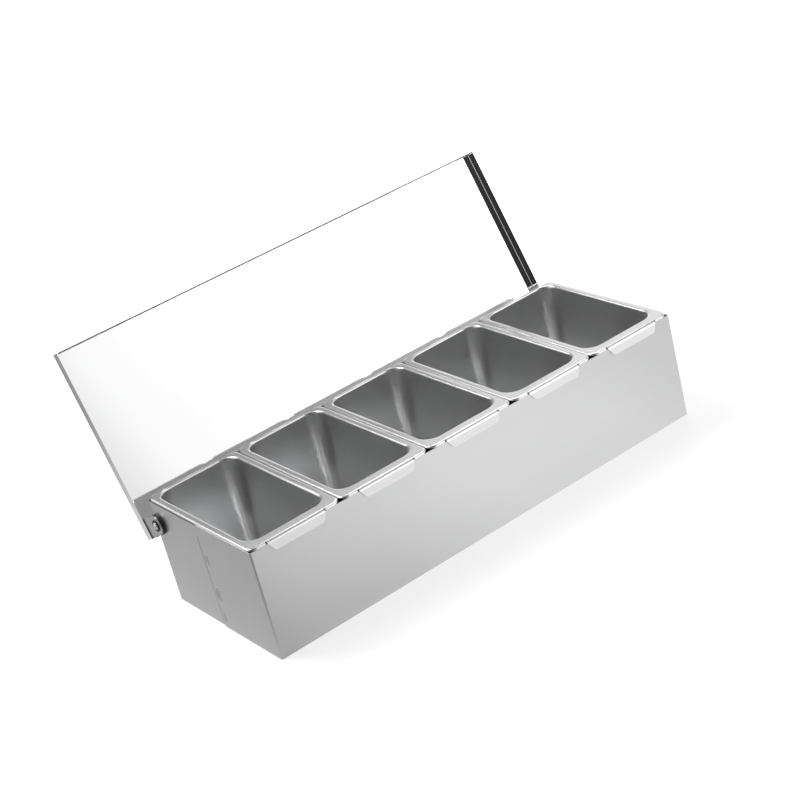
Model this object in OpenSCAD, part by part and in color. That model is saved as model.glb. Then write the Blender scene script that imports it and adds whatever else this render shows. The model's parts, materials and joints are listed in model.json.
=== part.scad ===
// Condiment box: a folded sheet-steel box, five drawn pans in a row and one long flip lid.
// X runs along the row, Y from front to rear, Z up. The origin is under the middle of the box.

/* [Box] */
// Outside length of the box, end wall to end wall
box_l = 380; // [340:5:420]
// Outside depth of the box, front wall to rear wall
box_w = 135.5; // [125:0.5:150]
// Height of the pan rims above the table
rim_z = 85; // [80:1:100]
// Thickness of the box and lid sheet
sheet = 0.7; // [0.6:0.1:0.8]
// Share of the depth that the front sheet's end leaves cover
seam_share = 0.53; // [0.4:0.01:0.6]

/* [Pans] */
// Depth of a pan, rim to underside
pan_h = 75; // [60:1:76]
// Thickness of the pan sheet
pan_t = 0.6; // [0.5:0.1:0.8]
// Gap between the rims of two neighbours
pan_gap = 0.7; // [0.4:0.1:1.2]
// Draft of the pan walls in degrees
pan_draft = 3.5; // [2:0.25:3.75]
// Width of the rim at the sides, edge to inner wall
rim_side = 5.6; // [5.2:0.1:7]
// Width of the rim at the front
rim_front = 9.6; // [9:0.1:13]
// Width of the rim at the rear
rim_rear = 3; // [3:0.25:6]
// Width of the front tab where it leaves the rim
tab_w = 47; // [36:1:50]
// Lean of the front tab from upright in degrees
tab_lean = 18; // [10:1:24]

/* [Lid] */
// Opening angle of the lid, from level to its stop
lid_open = 114; // [105:1:120]
// Height of the lid's top above the hinge axis, lid closed
lid_rise = 27; // [25:0.5:30]
// Depth of the lid's front and side skirts
skirt = 9; // [7:0.5:9.5]

/* [Hinge] */
// Distance of the hinge axis from the rear wall's face
axis_inset = 6.3; // [6:0.1:7]
// Height of the pan rims above the hinge axis
axis_drop = 20.2; // [19:0.1:22]
// Radius of the rivet's shank
shank_r = 1.6; // [1.5:0.1:2]

/* [Hidden] */
$fn = 96;

steel = "#c9ccce";
polished = "#e6e8ea";
black = "#1c1c1e";

// Box walls
front_y = -box_w / 2;
rear_y = box_w / 2;
rim_drop = 1.8;
wall_z = rim_z - rim_drop;
leaf_drop = 1.4;
bend_r = 1.4;
seam_y = front_y + seam_share * box_w;
leaf_lap = 12;
seam_cut_w = 2.4;
seam_cut_h = 9;
flange_h = 9;
corner_relief = 3;

// Pans
pans = 5;
pitch = box_l / pans;
rim_inset = 0.2;
rim_l = pitch - pan_gap;
rim_y0 = front_y + rim_inset;
rim_y1 = rear_y + rim_inset;
rim_r = 6.5;
lip_r = 1.2;
mouth_bend = 1.5;
mouth_r = 12.5;
foot_r = 6;
overlap = 0.5;
wall_x = rim_l / 2 - rim_side;
wall_y0 = rim_y0 + rim_front;
wall_y1 = rim_y1 - rim_rear;
basin_y = (wall_y0 + wall_y1) / 2;
basin_hx = wall_x + mouth_bend - mouth_r;
basin_hy = (wall_y1 - wall_y0) / 2 + mouth_bend - mouth_r;
floor_z = rim_z - pan_h + pan_t;
wall_len = (rim_z - floor_z - (mouth_bend + foot_r) * (1 - sin(pan_draft))) / cos(pan_draft);
foot_x = mouth_r - (mouth_bend + foot_r) * cos(pan_draft) - wall_len * sin(pan_draft);

// Front tab of a pan
tab_bend = 3;
tab_taper = 3.8;
tab_drop = 7.4;
tab_foot_z = rim_z - tab_drop;
tab_set = 1.7;
tab_y = rim_y0 + tab_set;
tab_corner = 1;
tab_relief = 1;

// Lid and hinge, with heights and depths counted from the hinge axis
axis_y = rear_y - axis_inset;
axis_z = rim_z - axis_drop;
side_play = 3;
lid_l = box_l + 2 * side_play;
lid_bend = 1.2;
rim_play = 1;
lid_back = axis_inset + rim_inset + rim_play + sheet;
front_play = 10;
lid_front = box_w - axis_inset + front_play;
stop_play = 0.3;
stop_h = (stop_play + axis_inset - lid_back * cos(lid_open)) / sin(lid_open);
plate_t = 0.8;
plate_r = 7.4;
plate_x = lid_l / 2 - sheet - plate_t;
run_play = 0.05;
fit_play = 0.03;
leaf_x = box_l / 2 - sheet;
friction_r = 7.8;
friction_t = plate_x - leaf_x - run_play;
outer_washer_r = 4.35;
outer_washer_t = 0.6;
outer_washer_x = plate_x + plate_t + run_play;
backing_r = 4.5;
backing_t = 0.8;
backing_x = leaf_x - sheet - backing_t;
head_r = 2.7;
head_h = 1.5;
tail_h = 1.1;
lap_play = 0.6;
long = 1000;
arc_steps = 6;

// Points along an arc about a centre
function arc(centre, r, from, to) = [
    for (i = [0 : arc_steps])
        let (angle = from + (to - from) * i / arc_steps)
        centre + r * [cos(angle), sin(angle)]
];

// A rectangle between two corners, its own corners round
module round_rect(x0, y0, x1, y1, r) {
    translate([x0 + r, y0])
        square([x1 - x0 - 2 * r, y1 - y0]);
    translate([x0, y0 + r])
        square([x1 - x0, y1 - y0 - 2 * r]);
    for (x = [x0 + r, x1 - r], y = [y0 + r, y1 - r])
        translate([x, y])
            circle(r);
}

// A section carried round a rectangle of corner centres. Its x counts outward from them.
module carry_round(hx, hy) {
    for (i = [0 : 3]) {
        across = i % 2 == 0 ? hx : hy;
        along = i % 2 == 0 ? hy : hx;
        rotate([0, 0, 90 * i]) {
            translate([across, along, 0])
                rotate_extrude(angle = 90)
                    children();
            translate([across, along, 0])
                rotate([90, 0, 0])
                    linear_extrude(2 * along)
                        children();
        }
    }
}

// A section carried along X over a length, its x pointing to the front
module carry_along(length) {
    translate([length / 2, 0, 0])
        rotate([0, 0, -90])
            rotate([90, 0, 0])
                linear_extrude(length)
                    children();
}

// A bar along X through both hinge axes
module axis_bar(r) {
    translate([-long / 2, axis_y, axis_z])
        rotate([0, 90, 0])
            cylinder(r = r, h = long);
}

// Plan of a wall sheet bent round two corners
module wall_plan(half_x) {
    difference() {
        round_rect(-half_x, front_y, half_x, rear_y, bend_r);
        round_rect(-half_x + sheet, front_y + sheet, half_x - sheet, rear_y - sheet,
                   bend_r - sheet);
    }
}

// Front wall with the outer leaf of each end wall, the leaf's top corner cut off at the seam
module front_sheet() {
    color(steel)
        difference() {
            linear_extrude(wall_z)
                intersection() {
                    wall_plan(box_l / 2);
                    translate([-long / 2, front_y - long])
                        square([long, seam_y - front_y + long]);
                }
            rotate([90, 0, 90])
                linear_extrude(long, center = true)
                    polygon([
                        [seam_y, wall_z - seam_cut_h],
                        [seam_y + seam_cut_w, wall_z - seam_cut_h],
                        [seam_y + seam_cut_w, wall_z + sheet],
                        [seam_y - seam_cut_w, wall_z + sheet],
                        [seam_y - seam_cut_w, wall_z]
                    ]);
        }
}

// Rear wall with the inner leaf of each end wall, which stands a little lower
module rear_sheet() {
    color(steel)
        difference() {
            linear_extrude(wall_z)
                intersection() {
                    wall_plan(leaf_x);
                    translate([-long / 2, seam_y - leaf_lap])
                        square([long, long]);
                }
            translate([-long / 2, rear_y - bend_r - long, wall_z - leaf_drop])
                cube([long, long, long]);
            axis_bar(shank_r + fit_play);
        }
}

// Section of the floor's edge: a bend and an upright flange, x counting outward
function floor_edge() =
    let (bend = [-bend_r, bend_r])
    concat(
        arc(bend, bend_r, -90, 0),
        [[0, flange_h], [-sheet, flange_h]],
        arc(bend, bend_r - sheet, 0, -90)
    );

// Floor with its four upright flanges inside the walls
module floor_tray() {
    floor_x = leaf_x - sheet;
    floor_y = rear_y - sheet;
    color(steel) {
        translate([-floor_x + bend_r, -floor_y + bend_r, 0])
            cube([2 * (floor_x - bend_r), 2 * (floor_y - bend_r), sheet]);
        for (side = [0, 180])
            rotate([0, 0, side]) {
                translate([0, -floor_y, 0])
                    carry_along(2 * (floor_x - corner_relief))
                        polygon(floor_edge());
                translate([floor_x, 0, 0])
                    rotate([0, 0, 90])
                        carry_along(2 * (floor_y - corner_relief))
                            polygon(floor_edge());
            }
    }
}

// Section of the rim's edge: a little of the flat rim, the bend and the short lip under it
function lip_section() =
    let (bend = [rim_r - lip_r, rim_z - lip_r])
    concat(
        [[bend.x - overlap, rim_z]],
        arc(bend, lip_r, 90, 0),
        [[rim_r, wall_z], [rim_r - pan_t, wall_z]],
        arc(bend, lip_r - pan_t, 0, 90),
        [[bend.x - overlap, rim_z - pan_t]]
    );

// Section of the basin: the mouth's bend, the drafted wall, the foot's bend and the floor
function basin_section() =
    let (
        mouth = [mouth_r, rim_z - mouth_bend],
        foot = [foot_x, floor_z + foot_r]
    )
    concat(
        [[mouth.x + overlap, rim_z]],
        arc(mouth, mouth_bend, 90, 180 - pan_draft),
        arc(foot, foot_r, -pan_draft, -90),
        [[0, floor_z], [0, floor_z - pan_t]],
        arc(foot, foot_r + pan_t, -90, -pan_draft),
        arc(mouth, mouth_bend - pan_t, 180 - pan_draft, 90),
        [[mouth.x + overlap, rim_z - pan_t]]
    );

// Section of the front tab: the wide bend over the wall and the leaning plate
function tab_section() =
    let (
        bend = [0, rim_z - tab_bend],
        down = [sin(tab_lean), -cos(tab_lean)],
        plate = (rim_z - tab_bend * (1 - sin(tab_lean)) - tab_foot_z) / cos(tab_lean),
        outer = arc(bend, tab_bend, 90, tab_lean),
        inner = arc(bend, tab_bend - pan_t, tab_lean, 90)
    )
    concat(
        [[-overlap, rim_z]],
        outer,
        [outer[arc_steps] + plate * down, inner[0] + plate * down],
        inner,
        [[-overlap, rim_z - pan_t]]
    );

// Front tab with its slanted ends and trimmed lower corners
module tab() {
    top = tab_w / 2;
    foot = tab_w / 2 - tab_taper;
    trim_z = tab_foot_z + tab_corner;
    intersection() {
        translate([0, tab_y, 0])
            carry_along(tab_w + 2 * tab_relief)
                polygon(tab_section());
        rotate([90, 0, 0])
            linear_extrude(long, center = true)
                polygon([
                    [-top, rim_z + lip_r], [top, rim_z + lip_r], [top, wall_z],
                    [foot, trim_z], [foot - 2 * tab_corner, trim_z - 2 * tab_corner],
                    [-foot + 2 * tab_corner, trim_z - 2 * tab_corner], [-foot, trim_z],
                    [-top, wall_z]
                ]);
    }
}

// One drawn pan: flat rim, short lip all round, front tab and drafted basin
module pan_body() {
    lip_hx = rim_l / 2 - rim_r;
    lip_hy = (rim_y1 - rim_y0) / 2 - rim_r;
    rim_y = (rim_y0 + rim_y1) / 2;
    difference() {
        union() {
            translate([0, 0, rim_z - pan_t])
                linear_extrude(pan_t)
                    difference() {
                        round_rect(-rim_l / 2 + lip_r, rim_y0 + lip_r, rim_l / 2 - lip_r,
                                   rim_y1 - lip_r, rim_r - lip_r);
                        round_rect(-basin_hx - mouth_r, basin_y - basin_hy - mouth_r,
                                   basin_hx + mouth_r, basin_y + basin_hy + mouth_r, mouth_r);
                    }
            translate([0, rim_y, 0])
                carry_round(lip_hx, lip_hy)
                    polygon(lip_section());
        }
        translate([-tab_w / 2 - tab_relief, rim_y0 - lip_r, wall_z - lip_r])
            cube([tab_w + 2 * tab_relief, tab_y - rim_y0 + lip_r, rim_drop + 2 * lip_r]);
    }
    tab();
    translate([0, basin_y, 0]) {
        carry_round(basin_hx, basin_hy)
            polygon(basin_section());
        translate([-basin_hx, -basin_hy, floor_z - pan_t])
            cube([2 * basin_hx, 2 * basin_hy, pan_t]);
    }
}

// A pan in its place in the row, counted from the left
module pan(number) {
    color(steel)
        translate([(number - (pans + 1) / 2) * pitch, 0, 0])
            pan_body();
}

// Lid pieces are drawn level, round the hinge axis, and swung open against the stop
module swung_open() {
    translate([0, axis_y, axis_z])
        rotate([-lid_open, 0, 0])
            children();
}

// A tray profile from one side to the other, open below, its two top corners bent
module tray_profile(low, high, top, r) {
    translate([low, -long])
        square([high - low, long + top - r]);
    translate([low + r, -long])
        square([high - low - 2 * r, long + top]);
    for (x = [low + r, high - r])
        translate([x, top - r])
            circle(r);
}

// The lid's outer form, or its inner form when drawn in by the sheet
module lid_form(inset) {
    r = lid_bend - inset;
    top = lid_rise - inset;
    intersection() {
        rotate([90, 0, 0])
            linear_extrude(long, center = true)
                tray_profile(-lid_l / 2 + inset, lid_l / 2 - inset, top, r);
        rotate([0, 0, 180])
            carry_along(long)
                tray_profile(-lid_front + inset, lid_back - inset, top, r);
    }
}

// Long lid, a shallow tray whose deeper rear skirt is the stop
module lid_tray() {
    color(polished)
        swung_open()
            difference() {
                lid_form(0);
                lid_form(sheet);
                translate([-long / 2, -long + lid_back - lid_bend, -long])
                    cube([long, long, long + lid_rise - skirt]);
                translate([-long / 2, -long / 2, -long])
                    cube([long, long, long + stop_h]);
                for (side = [0, 180])
                    rotate([0, 0, side])
                        translate([lid_l / 2 - sheet - lap_play, -long / 2, -long])
                            cube([long, long, long + lid_rise - skirt]);
            }
}

// Hinge plate inside a side skirt, hanging from the lid to the hinge axis
module hinge_plate() {
    plate_top = lid_rise - sheet - lap_play;
    color(steel)
        swung_open()
            difference() {
                union() {
                    translate([plate_x, 0, 0])
                        rotate([0, 90, 0])
                            cylinder(r = plate_r, h = plate_t);
                    translate([plate_x, -plate_r, 0])
                        cube([plate_t, 2 * plate_r, plate_top]);
                }
                translate([plate_x - plate_t, 0, 0])
                    rotate([0, 90, 0])
                        cylinder(r = shank_r + run_play, h = 3 * plate_t);
            }
}

// A washer on the hinge axis, its inner face at a distance from the middle of the box
module washer(x, r, thick, play) {
    translate([x, axis_y, axis_z])
        rotate([0, 90, 0])
            difference() {
                cylinder(r = r, h = thick);
                translate([0, 0, -thick])
                    cylinder(r = shank_r + play, h = 3 * thick);
            }
}

// Thick black washer between the hinge plate and the end wall
module friction_washer() {
    color(black)
        washer(leaf_x, friction_r, friction_t, fit_play);
}

// Thin black washer under the rivet's head
module outer_washer() {
    color(black)
        washer(outer_washer_x, outer_washer_r, outer_washer_t, fit_play);
}

// Steel washer inside the end wall, under the rivet's tail
module backing_washer() {
    color(steel)
        washer(backing_x, backing_r, backing_t, fit_play);
}

// Half section of a low dome, standing on its flat side
module dome_section(r, h) {
    ball = (r * r + h * h) / (2 * h);
    intersection() {
        translate([0, h - ball])
            circle(ball);
        square([r, h]);
    }
}

// Pivot rivet, with a domed head outside and a closed tail inside
module pivot_rivet() {
    head_x = outer_washer_x + outer_washer_t;
    color(steel)
        translate([backing_x, axis_y, axis_z])
            rotate([0, 90, 0])
                rotate_extrude() {
                    square([shank_r, head_x - backing_x]);
                    translate([0, head_x - backing_x])
                        dome_section(head_r, head_h);
                    mirror([0, 1])
                        dome_section(head_r, tail_h);
                }
}

// The left end is the mirror image of the right end
module on_left() {
    mirror([1, 0, 0])
        children();
}

front_sheet();
rear_sheet();
floor_tray();
lid_tray();
on_left() hinge_plate();  // left_hinge_plate
hinge_plate();  // right_hinge_plate
on_left() friction_washer();  // left_friction_washer
friction_washer();  // right_friction_washer
on_left() outer_washer();  // left_outer_washer
outer_washer();  // right_outer_washer
on_left() backing_washer();  // left_backing_washer
backing_washer();  // right_backing_washer
on_left() pivot_rivet();  // left_pivot_rivet
pivot_rivet();  // right_pivot_rivet
pan(1);  // pan_1
pan(2);  // pan_2
pan(3);  // pan_3
pan(4);  // pan_4
pan(5);  // pan_5
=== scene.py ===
import json
import math

import bmesh
import bpy
from mathutils import Matrix, Vector


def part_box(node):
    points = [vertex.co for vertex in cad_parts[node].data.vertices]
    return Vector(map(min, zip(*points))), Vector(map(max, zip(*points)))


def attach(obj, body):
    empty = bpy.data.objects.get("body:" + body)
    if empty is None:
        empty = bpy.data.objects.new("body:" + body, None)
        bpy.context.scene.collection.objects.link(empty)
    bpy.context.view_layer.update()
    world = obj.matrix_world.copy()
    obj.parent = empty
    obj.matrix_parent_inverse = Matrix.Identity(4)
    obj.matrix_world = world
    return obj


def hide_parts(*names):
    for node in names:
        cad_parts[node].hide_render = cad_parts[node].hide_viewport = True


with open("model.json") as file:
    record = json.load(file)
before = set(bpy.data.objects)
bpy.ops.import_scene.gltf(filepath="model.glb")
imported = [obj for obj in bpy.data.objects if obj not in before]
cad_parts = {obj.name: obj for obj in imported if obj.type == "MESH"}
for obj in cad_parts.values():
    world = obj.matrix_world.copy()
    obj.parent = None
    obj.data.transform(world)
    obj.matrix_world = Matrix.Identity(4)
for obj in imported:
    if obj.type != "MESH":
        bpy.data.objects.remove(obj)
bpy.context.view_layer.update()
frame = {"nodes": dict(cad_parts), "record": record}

MM = 0.001
QUARTER_TURN = math.pi / 2


def direction(azimuth, elevation):
    """Unit vector toward an azimuth and elevation: azimuth 0 is in front, 90 is on the right."""
    around = math.radians(azimuth)
    rise = math.radians(elevation)
    level = math.cos(rise)
    return Vector((math.sin(around) * level, -math.cos(around) * level, math.sin(rise)))


# Camera of the photograph

CAMERA_AZIMUTH = -30.756
CAMERA_ELEVATION = 24.986
CAMERA_ROLL = 14.703
CAMERA_PLACE = Vector((-660.0, -1089.7, 684.6)) * MM
CAMERA_SHIFT = (0.0017, -0.0013)
CAMERA_CLIP = (0.01, 50.0)
LENS_MM = 88.351
SENSOR_MM = 36.0


def make_camera():
    """The camera, rolled about its line of sight."""
    back = direction(CAMERA_AZIMUTH, CAMERA_ELEVATION)
    level_right = Vector((0, 0, 1)).cross(back).normalized()
    level_up = back.cross(level_right)
    roll = math.radians(CAMERA_ROLL)
    right = level_right * math.cos(roll) - level_up * math.sin(roll)
    up = level_right * math.sin(roll) + level_up * math.cos(roll)
    data = bpy.data.cameras.new("camera")
    data.lens = LENS_MM
    data.sensor_width = SENSOR_MM
    data.clip_start, data.clip_end = CAMERA_CLIP
    data.shift_x, data.shift_y = CAMERA_SHIFT
    camera = bpy.data.objects.new("camera", data)
    bpy.context.scene.collection.objects.link(camera)
    turn = Matrix((right, up, back)).transposed()
    camera.matrix_world = Matrix.Translation(CAMERA_PLACE) @ turn.to_4x4()
    bpy.context.scene.camera = camera


# Shader nodes

NOISE_ROUGHNESS = 0.6
FINE_DETAIL = 4.0
CLOUD_DETAIL = 2.0
CLOUD_SCALE = (18.0, 18.0, 18.0)
# Noise values that stand for its darkest and lightest spots
NOISE_LOW = 0.15
NOISE_HIGH = 0.85


def grey(level):
    """An opaque grey."""
    return (level, level, level, 1.0)


def new_material(name):
    """A new material, with its node tree and its Principled shader."""
    material = bpy.data.materials.new(name)
    material.use_nodes = True
    return material, material.node_tree, material.node_tree.nodes["Principled BSDF"]


def grain(tree, scale, detail=FINE_DETAIL):
    """Noise in object space, stretched by a scale for each axis."""
    place = tree.nodes.new("ShaderNodeTexCoord")
    stretch = tree.nodes.new("ShaderNodeMapping")
    stretch.inputs["Scale"].default_value = scale
    noise = tree.nodes.new("ShaderNodeTexNoise")
    noise.inputs["Scale"].default_value = 1.0
    noise.inputs["Detail"].default_value = detail
    noise.inputs["Roughness"].default_value = NOISE_ROUGHNESS
    tree.links.new(place.outputs["Object"], stretch.inputs["Vector"])
    tree.links.new(stretch.outputs["Vector"], noise.inputs["Vector"])
    return noise.outputs["Fac"]


def ranged(tree, value, low, high, start=NOISE_LOW, end=NOISE_HIGH):
    """A value from start to end spread over low to high."""
    spread = tree.nodes.new("ShaderNodeMapRange")
    spread.inputs["From Min"].default_value = start
    spread.inputs["From Max"].default_value = end
    spread.inputs["To Min"].default_value = low
    spread.inputs["To Max"].default_value = high
    tree.links.new(value, spread.inputs["Value"])
    return spread.outputs["Result"]


def mixed(tree, kind, factor, first, second):
    """A mix of two numbers or colours, each given as a value or a socket, by a factor from 0 to 1."""
    mix = tree.nodes.new("ShaderNodeMix")
    mix.data_type = kind
    tree.links.new(factor, mix.inputs["Factor"])
    for name, value in (("A", first), ("B", second)):
        if isinstance(value, bpy.types.NodeSocket):
            tree.links.new(value, mix.inputs[name])
        else:
            mix.inputs[name].default_value = value
    return mix.outputs["Result"]


def bumped(tree, height, strength, distance):
    """A normal from a height."""
    bump = tree.nodes.new("ShaderNodeBump")
    bump.inputs["Strength"].default_value = strength
    bump.inputs["Distance"].default_value = distance
    tree.links.new(height, bump.inputs["Height"])
    return bump.outputs["Normal"]


def graded(tree, value, marks):
    """A grey level read from a list of (value, level) marks."""
    ramp = tree.nodes.new("ShaderNodeValToRGB")
    tree.links.new(value, ramp.inputs["Fac"])
    elements = ramp.color_ramp.elements
    # The new marks go between the ramp's two ends, and are then put in their places in order
    while len(elements) < len(marks):
        elements.new(0.5)
    for element, (place, level) in zip(elements, marks):
        element.position = place
        element.color = grey(level)
    return ramp.outputs["Color"]


def product(tree, first, second):
    """The product of two grey levels."""
    times = tree.nodes.new("ShaderNodeMath")
    times.operation = "MULTIPLY"
    tree.links.new(first, times.inputs[0])
    tree.links.new(second, times.inputs[1])
    return times.outputs["Value"]


# Materials

ALONG_X = (6.0, 900.0, 900.0)
EVEN = (300.0, 300.0, 300.0)
UNEVEN_WELD = (500.0, 500.0, 500.0)
SPECKLE = (900.0, 900.0, 900.0)
STEEL_RELIEF = 0.02 * MM
NYLON_RELIEF = 0.03 * MM


def steel(name, tone, spread, rough, rough_spread, scale, bump):
    """Stainless steel with a grain in its colour and surface, and clouds in its gloss."""
    material, tree, shader = new_material(name)
    fine = grain(tree, scale)
    dark = tuple(channel - spread for channel in tone)
    light = tuple(channel + spread for channel in tone)
    colour = mixed(tree, "RGBA", ranged(tree, fine, 0.0, 1.0), (*dark, 1.0), (*light, 1.0))
    tree.links.new(colour, shader.inputs["Base Color"])
    if rough_spread:
        cloud = grain(tree, CLOUD_SCALE, CLOUD_DETAIL)
        gloss = ranged(tree, cloud, rough - rough_spread, rough + rough_spread)
        tree.links.new(gloss, shader.inputs["Roughness"])
    else:
        shader.inputs["Roughness"].default_value = rough
    tree.links.new(bumped(tree, fine, bump, STEEL_RELIEF), shader.inputs["Normal"])
    shader.inputs["Metallic"].default_value = 1.0
    return material


def box_steel():
    """Satin sheet of the box, with its grain along the length."""
    return steel("box_steel", tone=(0.62, 0.622, 0.625), spread=0.02,
                 rough=0.36, rough_spread=0.02, scale=ALONG_X, bump=0.12)


def lid_steel():
    """Mirror-polished sheet of the lid."""
    return steel("lid_steel", tone=(0.97, 0.972, 0.975), spread=0.004,
                 rough=0.05, rough_spread=0.01, scale=EVEN, bump=0.01)


def plate_steel():
    """Plain, slightly dull steel of the hinge plates."""
    return steel("plate_steel", tone=(0.52, 0.52, 0.525), spread=0.04,
                 rough=0.3, rough_spread=0.05, scale=EVEN, bump=0.3)


def rivet_steel():
    """Shiny, hammered steel of the rivets."""
    return steel("rivet_steel", tone=(0.7, 0.7, 0.7), spread=0.03,
                 rough=0.2, rough_spread=0.05, scale=EVEN, bump=0.2)


def pan_steel():
    """Even satin steel of the drawn pans."""
    return steel("pan_steel", tone=(0.8, 0.802, 0.805), spread=0.015,
                 rough=0.27, rough_spread=0.0, scale=EVEN, bump=0.06)


def shade_painted_hem_steel():
    """Steel of the lid's hem, painted dark to stand for the shade along the skirt's free edge."""
    # Very dark tone: painted shade along the lid skirt's free edge
    return steel("shade_painted_hem_steel", tone=(0.14, 0.14, 0.145), spread=0.02,
                 rough=0.35, rough_spread=0.04, scale=ALONG_X, bump=0.2)


def weld_steel():
    """Heat-tinted steel of the welds."""
    return steel("weld_steel", tone=(0.5, 0.495, 0.49), spread=0.1,
                 rough=0.4, rough_spread=0.05, scale=UNEVEN_WELD, bump=0.4)


def black_nylon():
    """Matt black nylon of the washers."""
    material, tree, shader = new_material("black_nylon")
    speck = grain(tree, SPECKLE)
    dark = (0.008, 0.008, 0.009, 1.0)
    light = (0.02, 0.02, 0.021, 1.0)
    tree.links.new(mixed(tree, "RGBA", speck, dark, light), shader.inputs["Base Color"])
    gloss = ranged(tree, speck, low=0.4, high=0.6)
    tree.links.new(gloss, shader.inputs["Roughness"])
    relief = bumped(tree, speck, strength=0.3, distance=NYLON_RELIEF)
    tree.links.new(relief, shader.inputs["Normal"])
    return material


MATERIALS = {
    make.__name__: make()
    for make in (box_steel, lid_steel, plate_steel, rivet_steel, pan_steel, black_nylon,
                 shade_painted_hem_steel, weld_steel)
}


def finish_frame():
    """Gives each CAD node the material of its slot."""
    for row in frame["record"]["subparts"]:
        node = frame["nodes"][row["node"]]
        node.data.materials.clear()
        node.data.materials.append(MATERIALS[row["material_slot"]])


# Pieces


def frame_body(node):
    """The body that a CAD node rides on."""
    for body, members in frame["record"]["behaviour"]["bodies"].items():
        if node in members:
            return body
    raise ValueError(node)


def new_piece(mesh, name, material, body):
    """A smooth-shaded piece from a finished bmesh, riding a body."""
    bmesh.ops.recalc_face_normals(mesh, faces=mesh.faces)
    data = bpy.data.meshes.new(name)
    mesh.to_mesh(data)
    mesh.free()
    data.materials.append(material)
    for polygon in data.polygons:
        polygon.use_smooth = True
    piece = bpy.data.objects.new(name, data)
    bpy.context.scene.collection.objects.link(piece)
    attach(piece, body)
    return piece


def new_ring(mesh, sides, place):
    """A ring of vertices, each where place puts its angle in radians."""
    return [mesh.verts.new(place(math.tau * corner / sides)) for corner in range(sides)]


def skin_rings(mesh, rings):
    """A closed skin over a row of rings that have as many vertices each."""
    for first, second in zip(rings, rings[1:]):
        for corner in range(len(first)):
            after = (corner + 1) % len(first)
            mesh.faces.new((first[corner], first[after], second[after], second[corner]))
    mesh.faces.new(list(reversed(rings[0])))
    mesh.faces.new(rings[-1])


# Pans, with the sizes of the CAD

PAN_COUNT = 5
PAN_SHEET = 0.6 * MM
# Rim: corner radius, widths beside, before and behind the basin, and place behind the box's front
RIM_RADIUS = 6.5 * MM
RIM_SIDE = 5.6 * MM
RIM_FRONT = 9.6 * MM
RIM_REAR = 3.0 * MM
RIM_SET_BACK = 0.2 * MM
# Rim's slight crown: slope at its foot, width, and the most of the rim that one side of it takes
CROWN = math.radians(12.0)
CROWN_WIDTH = 1.6 * MM
CROWN_SHARE = 0.46
# Lip that hangs from the rim
LIP_RADIUS = 1.2 * MM
LIP_HEIGHT = 1.8 * MM
# Basin: corner radius and bend of its mouth, bend at its foot, and the walls' lean
MOUTH_RADIUS = 12.5 * MM
MOUTH_BEND = 1.5 * MM
FOOT_RADIUS = 6.0 * MM
DRAFT = math.radians(3.5)
# Tab: half width at its root and what its foot loses, bend and lean, height below the rim's top,
# place of its bend behind the rim's front, width of the relief notches and trimmed lower corners
TAB_HALF = 23.5 * MM
TAB_TAPER = 3.8 * MM
TAB_BEND = 3.0 * MM
TAB_LEAN = math.radians(18.0)
TAB_DROP = 7.4 * MM
TAB_SET = 1.7 * MM
TAB_RELIEF = 1.0 * MM
TAB_CORNER = 1.0 * MM

CORNER_STEPS = 14
BEND_STEPS = 8
CROWN_STEPS = 4
SIDE_STEPS = 8
TAB_STEPS = 10
BESIDE_TAB_STEPS = 2
SHARP_ANGLE = math.radians(38.0)
ROUNDING = 0.01 * MM

# Plan directions of the pan's sides, from the front round to the left, and of the corners after them
OUTWARD = ((0, -1), (1, 0), (0, 1), (-1, 0))
ALONG = ((1, 0), (0, 1), (-1, 0), (0, -1))
CORNERS = ((1, -1), (1, 1), (-1, 1), (-1, -1))


def arc(centre, radius, start, end):
    """Points of a section along an arc, angles in radians."""
    points = []
    for step in range(BEND_STEPS + 1):
        angle = start + (end - start) * step / BEND_STEPS
        points.append((centre[0] + radius * math.cos(angle), centre[1] + radius * math.sin(angle)))
    return points


def crown_height(width):
    """Rise of the rim's crowned edge over a width."""
    return width * math.tan(CROWN) / 2


def crown_points(start, end):
    """Points across the rim's slightly crowned top, between the mouth's bend and the edge's."""
    start, end = Vector(start), Vector(end)
    across = (end - start).length
    zone = min(CROWN_SHARE * across, CROWN_WIDTH)
    rise = crown_height(zone)
    points = []
    for step in range(1, CROWN_STEPS + 1):
        share = step / CROWN_STEPS
        points.append((share * zone, rise * (1 - (1 - share) ** 2)))
    points += [(across - distance, height) for distance, height in reversed(points)]
    return [(*start.lerp(end, distance / across).xy, start.z + height)
            for distance, height in points]


def basin_profiles(top):
    """The basin's inner face up to the rim's crown, and its outer face down again, as (reach, z)."""
    low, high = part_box("pan_1")
    depth = high.z - low.z
    floor = top + crown_height(CROWN_WIDTH) - depth + PAN_SHEET
    bends = MOUTH_BEND + FOOT_RADIUS
    wall = (top - floor - bends * (1 - math.sin(DRAFT))) / math.cos(DRAFT)
    foot_reach = MOUTH_RADIUS - bends * math.cos(DRAFT) - wall * math.sin(DRAFT)
    mouth = (MOUTH_RADIUS, top - MOUTH_BEND)
    foot = (foot_reach, floor + FOOT_RADIUS)
    inner = (arc(foot, FOOT_RADIUS, -QUARTER_TURN, -DRAFT)
             + arc(mouth, MOUTH_BEND, math.pi - DRAFT, QUARTER_TURN + CROWN))
    outer = (arc(mouth, MOUTH_BEND - PAN_SHEET, QUARTER_TURN, math.pi - DRAFT)
             + arc(foot, FOOT_RADIUS + PAN_SHEET, -DRAFT, -QUARTER_TURN))
    return inner, outer


def lip_profile(top, low):
    """The rim's edge as (reach, z), from the crown over the outside and back inside."""
    bend = (RIM_RADIUS - LIP_RADIUS, top - LIP_RADIUS)
    outer = arc(bend, LIP_RADIUS, QUARTER_TURN - CROWN, 0.0)
    inner = arc(bend, LIP_RADIUS - PAN_SHEET, 0.0, QUARTER_TURN)
    return outer + [(RIM_RADIUS, low), (RIM_RADIUS - PAN_SHEET, low)] + inner


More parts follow.
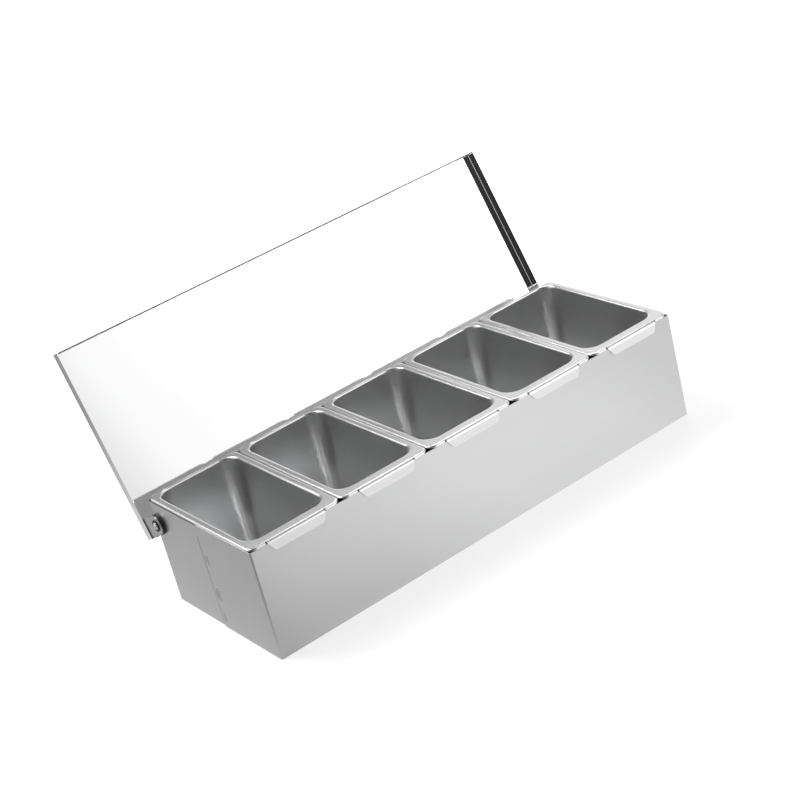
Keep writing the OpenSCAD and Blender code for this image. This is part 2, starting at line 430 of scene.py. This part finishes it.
def tab_profile(top, foot):
    """The front tab as (distance out from its bend's start, z), over the outside and back inside."""
    bend = (0.0, top - TAB_BEND)
    outer = arc(bend, TAB_BEND, QUARTER_TURN - CROWN, TAB_LEAN)
    inner = arc(bend, TAB_BEND - PAN_SHEET, TAB_LEAN, QUARTER_TURN)
    plate = (outer[-1][1] - foot) / math.cos(TAB_LEAN)
    down = (math.sin(TAB_LEAN) * plate, -math.cos(TAB_LEAN) * plate)
    ends = [(point[0] + down[0], point[1] + down[1]) for point in (outer[-1], inner[0])]
    return outer + ends + inner


def pan_sections(top):
    """All section lines of a pan whose crown reaches up to top."""
    edge = top - crown_height(CROWN_WIDTH)
    inner, outer = basin_profiles(edge)
    return {
        "inner": inner,
        "outer": outer,
        "lip": lip_profile(edge, top - LIP_HEIGHT),
        "tab": tab_profile(edge, top - TAB_DROP),
        "tab_end": tab_profile(edge, top - TAB_DROP + TAB_CORNER),
    }


def pan_plan(node):
    """The rim's front, and the centre and half size of the rim's and the basin's corner centres."""
    low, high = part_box(node)
    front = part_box("front_sheet")[0].y + RIM_SET_BACK
    rear = high.y
    x = (low.x + high.x) / 2
    half_width = (high.x - low.x) / 2
    wall_front = front + RIM_FRONT
    wall_rear = rear - RIM_REAR
    inset = MOUTH_BEND - MOUTH_RADIUS
    rim_half = (half_width - RIM_RADIUS, (rear - front) / 2 - RIM_RADIUS)
    basin_half = (half_width - RIM_SIDE + inset, (wall_rear - wall_front) / 2 + inset)
    return {
        "front": front,
        "rim": ((x, (front + rear) / 2), rim_half),
        "basin": ((x, (wall_front + wall_rear) / 2), basin_half),
    }


def straight(start, end, steps):
    """Evenly spaced values from start to just before end."""
    return [start + (end - start) * step / steps for step in range(steps)]


def front_places(half):
    """Places along the front from left to right, with the tab's reliefs, ends and trimmed corners."""
    gap = TAB_HALF + TAB_RELIEF
    full = TAB_HALF - TAB_CORNER
    marks = (-half, -gap, -TAB_HALF, -full, full, TAB_HALF, gap, half)
    steps = (BESIDE_TAB_STEPS, 1, 1, TAB_STEPS, 1, 1, BESIDE_TAB_STEPS)
    places = []
    for start, end, count in zip(marks, marks[1:], steps):
        places += straight(start, end, count)
    return places


def pan_columns(half):
    """Columns round the pan: kind, side, and share along the side or angle round its corner."""
    columns = []
    for turn in range(len(OUTWARD)):
        run = half[turn % 2]
        places = front_places(run) if turn == 0 else straight(-run, run, SIDE_STEPS)
        for place in places:
            columns.append(("side", turn, place / run))
        for step in range(CORNER_STEPS):
            columns.append(("corner", turn, QUARTER_TURN * (turn - 1 + step / CORNER_STEPS)))
    return columns


def column_point(column, centre, half, reach):
    """Plan point of a column at a reach outward from a rectangle of corner centres."""
    kind, turn, value = column
    if kind == "corner":
        corner = CORNERS[turn]
        return (centre[0] + corner[0] * half[0] + reach * math.cos(value),
                centre[1] + corner[1] * half[1] + reach * math.sin(value))
    along, outward = ALONG[turn], OUTWARD[turn]
    run = value * half[turn % 2]
    off = half[(turn + 1) % 2] + reach
    return (centre[0] + along[0] * run + outward[0] * off,
            centre[1] + along[1] * run + outward[1] * off)


def tab_place(column, half_width):
    """Distance of a column from the tab's middle, or None where it isn't on the tab."""
    kind, turn, value = column
    place = value * half_width
    on_tab = kind == "side" and turn == 0 and abs(place) < TAB_HALF + ROUNDING
    return place if on_tab else None


def edge_points(column, plan, sections, top):
    """The outer end of a column: the lip, or the tab where there is one."""
    centre, half = plan["rim"]
    place = tab_place(column, half[0])
    if place is None:
        return [(*column_point(column, centre, half, reach), z) for reach, z in sections["lip"]]
    at_end = abs(place) > TAB_HALF - TAB_CORNER / 2
    points = []
    for out, z in sections["tab_end" if at_end else "tab"]:
        share = max(0.0, (top - LIP_HEIGHT - z) / (TAB_DROP - LIP_HEIGHT))
        narrow = 1.0 - share * TAB_TAPER / TAB_HALF
        points.append((centre[0] + place * narrow, plan["front"] + TAB_SET - out, z))
    return points


def column_line(column, plan, sections, top):
    """All points of a column, from the basin's floor up, over the rim and back under it."""
    centre, half = plan["basin"]
    inner = [(*column_point(column, centre, half, reach), z) for reach, z in sections["inner"]]
    outer = [(*column_point(column, centre, half, reach), z) for reach, z in sections["outer"]]
    edge = edge_points(column, plan, sections, top)
    return inner + crown_points(inner[-1], edge[0]) + edge + outer


def seal_cut(mesh, line, first, last):
    """Closes the sheet's cut end along a column, from its outside to its inside."""
    for step in range((last - first) // 2):
        mesh.faces.new((line[first + step], line[first + step + 1],
                        line[last - step - 1], line[last - step]))


def skin_pan(mesh, grid, in_tab, first, last):
    """Faces between the columns, from first to last cut through beside the tab, and the floor's."""
    for number, line in enumerate(grid):
        after = (number + 1) % len(grid)
        beside = grid[after]
        relief = in_tab[number] != in_tab[after]
        for step in range(len(line) - 1):
            if not (relief and first <= step < last):
                mesh.faces.new((line[step], beside[step], beside[step + 1], line[step + 1]))
        if relief:
            seal_cut(mesh, line, first, last)
            seal_cut(mesh, beside, first, last)
    mesh.faces.new([line[0] for line in reversed(grid)])
    mesh.faces.new([line[-1] for line in grid])


def make_pan(number):
    """One drawn pan with its rim, lip, front tab and drafted basin, in place of its CAD node."""
    node = "pan_%d" % number
    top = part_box(node)[1].z
    plan = pan_plan(node)
    sections = pan_sections(top)
    _, half = plan["rim"]
    columns = pan_columns(half)
    in_tab = [tab_place(column, half[0]) is not None for column in columns]
    mesh = bmesh.new()
    grid = []
    for column in columns:
        line = column_line(column, plan, sections, top)
        grid.append([mesh.verts.new(point) for point in line])
    first = len(sections["inner"]) + 2 * CROWN_STEPS
    last = first + len(sections["lip"]) - 1
    skin_pan(mesh, grid, in_tab, first, last)
    pan = new_piece(mesh, node + "_drawn", MATERIALS["pan_steel"], frame_body(node))
    pan.data.set_sharp_from_angle(angle=SHARP_ANGLE)
    weighted = pan.modifiers.new("weighted", "WEIGHTED_NORMAL")
    weighted.keep_sharp = True
    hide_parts(node)


# Welded seams of the end walls

BOX_HALF_LENGTH = 190.0 * MM
BOX_DEPTH = 135.5 * MM
SEAM_SHARE = 0.53
SEAM_LOW = 1.5 * MM
SEAM_HIGH = 74.2 * MM

# Bead: radius, depth of its middle in the wall, and the middle's place behind the leaf's edge
BEAD_RADIUS = 0.4 * MM
BEAD_SUNK = 0.15 * MM
BEAD_BEHIND = 0.24 * MM
# Its ripple as a share of the radius, and the ripple's turn from step to step in radians
BEAD_RIPPLE = 0.15
BEAD_RIPPLE_TURN = 2.3
BEAD_SIDES = 10
BEAD_STEPS = 60

# Weld marks: distance in front of the seam, height, half width and half height, in millimetres
WELD_MARKS = ((4.0, 56.0, 2.2, 4.2), (4.6, 28.0, 2.8, 5.2), (3.6, 9.0, 2.0, 3.6))
MARK_PROUD = 0.05 * MM
# Waves of their outline, broad and fine: height as a share of the size, and number of waves round it
BROAD_WAVE = 0.18
BROAD_COUNT = 3
FINE_WAVE = 0.1
FINE_COUNT = 5
MARK_RINGS = 5
MARK_SIDES = 20


def seam_y():
    """Where the front sheet's end leaf stops."""
    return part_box("front_sheet")[0].y + SEAM_SHARE * BOX_DEPTH


def make_seam_bead(side, label):
    """The thin, rippled weld bead in the step where the two sheets meet on an end wall."""
    x = side * (BOX_HALF_LENGTH - BEAD_SUNK)
    y = seam_y() + BEAD_BEHIND
    mesh = bmesh.new()
    rings = []
    for step in range(BEAD_STEPS + 1):
        z = SEAM_LOW + (SEAM_HIGH - SEAM_LOW) * step / BEAD_STEPS
        radius = BEAD_RADIUS * (1 - BEAD_RIPPLE + BEAD_RIPPLE * math.sin(BEAD_RIPPLE_TURN * step))
        rings.append(new_ring(mesh, BEAD_SIDES, lambda angle: (
            x + radius * math.cos(angle), y + radius * math.sin(angle), z)))
    skin_rings(mesh, rings)
    new_piece(mesh, "%s_seam_bead" % label, MATERIALS["weld_steel"], "box")


def make_weld_mark(side, label, number, ahead, height, half_width, half_height):
    """One low mark of a weld beside a seam, with an uneven outline."""

    def place(angle, share):
        broad = BROAD_WAVE * math.sin(BROAD_COUNT * angle + number)
        fine = FINE_WAVE * math.sin(FINE_COUNT * angle)
        reach = share * (1 + broad + fine)
        return (side * (BOX_HALF_LENGTH + MARK_PROUD * (1 - share ** 2)),
                seam_y() - ahead * MM + reach * half_width * MM * math.cos(angle),
                height * MM + reach * half_height * MM * math.sin(angle))

    mesh = bmesh.new()
    rings = []
    for ring in range(1, MARK_RINGS + 1):
        rings.append(new_ring(mesh, MARK_SIDES, lambda angle: place(angle, ring / MARK_RINGS)))
    skin_rings(mesh, rings)
    new_piece(mesh, "%s_weld_mark_%d" % (label, number), MATERIALS["weld_steel"], "box")


def make_seams():
    """Bead and marks on both end walls."""
    for side, label in ((-1, "left"), (1, "right")):
        make_seam_bead(side, label)
        for number, mark in enumerate(WELD_MARKS, start=1):
            make_weld_mark(side, label, number, *mark)


# Hem of the lid's front skirt, painted dark as the shade along its free edge

LID_LEAN = math.radians(24.0)
HEM_RADIUS = 0.45 * MM
HEM_SET_IN = 0.55 * MM
HEM_SET_BACK = 0.1 * MM
HEM_END = 1.2 * MM
HEM_SIDES = 12
HEM_STEPS = 40


def make_lid_hem():
    """The rounded, turned-in edge along the free side of the lid's front skirt, in dark steel that
    paints the shade along that edge.
    """
    up = Vector((0.0, math.sin(LID_LEAN), math.cos(LID_LEAN)))
    inward = Vector((0.0, -math.cos(LID_LEAN), math.sin(LID_LEAN)))
    points = [vertex.co for vertex in frame["nodes"]["lid_tray"].data.vertices]
    height = max(point.dot(up) for point in points) - HEM_SET_IN
    skirt = [point for point in points if point.dot(up) > height]
    edge = max(point.dot(inward) for point in skirt) - HEM_SET_BACK
    half = max(point.x for point in points) - HEM_END
    section = []
    for corner in range(HEM_SIDES):
        angle = math.tau * corner / HEM_SIDES
        section.append(up * (height + HEM_RADIUS * math.cos(angle))
                       + inward * (edge + HEM_RADIUS * math.sin(angle)))
    mesh = bmesh.new()
    rings = []
    for step in range(HEM_STEPS + 1):
        x = -half + 2 * half * step / HEM_STEPS
        rings.append([mesh.verts.new((x, point.y, point.z)) for point in section])
    skin_rings(mesh, rings)
    # The hem's dark steel is painted shade along the skirt's free edge, not a darker metal
    new_piece(mesh, "lid_front_hem", MATERIALS["shade_painted_hem_steel"], "lid")


# Studio

# World brightness as soft light
DIFFUSE_SKY = 0.6
# Sky brightness in gloss against the sine of the elevation
SKY = ((0.0, 1.0), (0.41, 1.0), (0.5, 0.5), (0.6, 0.35), (1.0, 0.35))
# Share of it left near the dark camera side, against the cosine of the angle from there
DARK_SIDE = ((0.638, 1.0), (0.655, 0.82), (0.7, 0.55), (0.9, 0.08), (1.0, 0.02))
DARK_SIDE_AZIMUTH = -29.0
DARK_SIDE_ELEVATION = 10.0

FLOOR_SIZE = 8.0
FLOOR_TONE = 0.8
# The floor's own light to the camera, and its tones there and in gloss
FLOOR_GLOW = 0.6
FLOOR_TONE_SEEN = 0.5
FLOOR_TONE_GLOSS = 0.2
# Its own light in gloss, against x from -0.5 m to 0.5 m
FLOOR_GLOSS_REACH = 0.5
FLOOR_GLOSS = ((0.0, 0.1), (0.27, 0.38), (0.36, 0.62), (0.54, 1.0), (0.66, 1.0), (0.75, 0.78),
               (1.0, 0.62))
# Share of it left behind the box, against y from 0 to 1 m
FLOOR_REAR = ((0.0, 1.0), (0.2, 1.0), (0.42, 0.22), (1.0, 0.22))
# Share of it left round a dark place, against the distance from there over the place's reach
FLOOR_DARK = ((0.0, 0.1), (0.55, 0.35), (1.0, 1.0))
FLOOR_DARK_PLACE = (-0.36, -0.22, 0.0)
FLOOR_DARK_REACH = 0.24

# Lamps: name, azimuth, elevation, length of a side in metres and power in watts
LAMP_DISTANCE = 2.2
LAMPS = (
    ("key", 45.0, 36.0, 1.6, 8.5),
    ("rim", 135.0, 49.0, 0.8, 4.0),
    ("rear", -145.0, 54.0, 1.1, 24.0),
)


def vector_number(tree, operation, vector, other):
    """A number from a vector and a fixed one, such as their dot product or distance."""
    node = tree.nodes.new("ShaderNodeVectorMath")
    node.operation = operation
    node.inputs[1].default_value = other
    tree.links.new(vector, node.inputs[0])
    return node.outputs["Value"]


def make_world():
    """White to the camera, white at the sides and darker above in gloss, even as soft light."""
    world = bpy.data.worlds.new("studio")
    bpy.context.scene.world = world
    world.use_nodes = True
    tree = world.node_tree
    path = tree.nodes.new("ShaderNodeLightPath")
    place = tree.nodes.new("ShaderNodeTexCoord").outputs["Generated"]
    split = tree.nodes.new("ShaderNodeSeparateXYZ")
    tree.links.new(place, split.inputs["Vector"])
    dark_side = direction(DARK_SIDE_AZIMUTH, DARK_SIDE_ELEVATION)
    toward = vector_number(tree, "DOT_PRODUCT", place, dark_side)
    sky = product(tree, graded(tree, split.outputs["Z"], SKY), graded(tree, toward, DARK_SIDE))
    lit = mixed(tree, "RGBA", path.outputs["Is Glossy Ray"], grey(DIFFUSE_SKY), sky)
    shown = mixed(tree, "RGBA", path.outputs["Is Camera Ray"], lit, grey(1.0))
    tree.links.new(shown, tree.nodes["Background"].inputs["Color"])


def seen_share(tree, path):
    """1 for rays from the camera, off gloss or through glass, otherwise 0."""
    share = path.outputs["Is Camera Ray"]
    for name in ("Is Glossy Ray", "Is Transmission Ray"):
        larger = tree.nodes.new("ShaderNodeMath")
        larger.operation = "MAXIMUM"
        tree.links.new(share, larger.inputs[0])
        tree.links.new(path.outputs[name], larger.inputs[1])
        share = larger.outputs["Value"]
    return share


def floor_gloss(tree):
    """The floor's own light as gloss sees it: brighter on the right, darker behind and in front left."""
    place = tree.nodes.new("ShaderNodeTexCoord").outputs["Object"]
    split = tree.nodes.new("ShaderNodeSeparateXYZ")
    tree.links.new(place, split.inputs["Vector"])
    across = ranged(tree, split.outputs["X"], low=0.0, high=1.0,
                    start=-FLOOR_GLOSS_REACH, end=FLOOR_GLOSS_REACH)
    gap = vector_number(tree, "DISTANCE", place, FLOOR_DARK_PLACE)
    near = ranged(tree, gap, low=0.0, high=1.0, start=0.0, end=FLOOR_DARK_REACH)
    level = product(tree, graded(tree, across, FLOOR_GLOSS),
                    graded(tree, split.outputs["Y"], FLOOR_REAR))
    return product(tree, level, graded(tree, near, FLOOR_DARK))


def floor_material():
    """White to the camera with the object's shadow, graded in gloss, plain white as soft light."""
    material, tree, shader = new_material("floor")
    shader.inputs["Base Color"].default_value = grey(FLOOR_TONE)
    shader.inputs["Roughness"].default_value = 1.0
    shader.inputs["Specular IOR Level"].default_value = 0.0
    path = tree.nodes.new("ShaderNodeLightPath")
    from_camera = path.outputs["Is Camera Ray"]
    glow = tree.nodes.new("ShaderNodeEmission")
    strength = mixed(tree, "FLOAT", from_camera, floor_gloss(tree), FLOOR_GLOW)
    tree.links.new(strength, glow.inputs["Strength"])
    pale = tree.nodes.new("ShaderNodeBsdfDiffuse")
    tone = mixed(tree, "RGBA", from_camera, grey(FLOOR_TONE_GLOSS), grey(FLOOR_TONE_SEEN))
    tree.links.new(tone, pale.inputs["Color"])
    both = tree.nodes.new("ShaderNodeAddShader")
    tree.links.new(glow.outputs["Emission"], both.inputs[0])
    tree.links.new(pale.outputs["BSDF"], both.inputs[1])
    pick = tree.nodes.new("ShaderNodeMixShader")
    tree.links.new(seen_share(tree, path), pick.inputs["Fac"])
    tree.links.new(shader.outputs["BSDF"], pick.inputs[1])
    tree.links.new(both.outputs["Shader"], pick.inputs[2])
    tree.links.new(pick.outputs["Shader"], tree.nodes["Material Output"].inputs["Surface"])
    return material


def make_floor():
    """A wide floor under the box."""
    bpy.ops.mesh.primitive_plane_add(size=FLOOR_SIZE, location=(0, 0, 0))
    floor = bpy.context.object
    floor.name = "floor"
    floor.data.materials.append(floor_material())


def make_lamp(name, azimuth, elevation, size, power):
    """A square soft lamp aimed at the box."""
    toward = direction(azimuth, elevation)
    data = bpy.data.lights.new(name, "AREA")
    data.size = size
    data.energy = power
    lamp = bpy.data.objects.new(name, data)
    bpy.context.scene.collection.objects.link(lamp)
    lamp.location = toward * LAMP_DISTANCE
    lamp.rotation_mode = "QUATERNION"
    lamp.rotation_quaternion = toward.to_track_quat("Z", "Y")


bpy.context.scene.view_settings.view_transform = "Standard"
make_camera()
finish_frame()
for number in range(1, PAN_COUNT + 1):
    make_pan(number)
make_seams()
make_lid_hem()
make_world()
make_floor()
for lamp in LAMPS:
    make_lamp(*lamp)
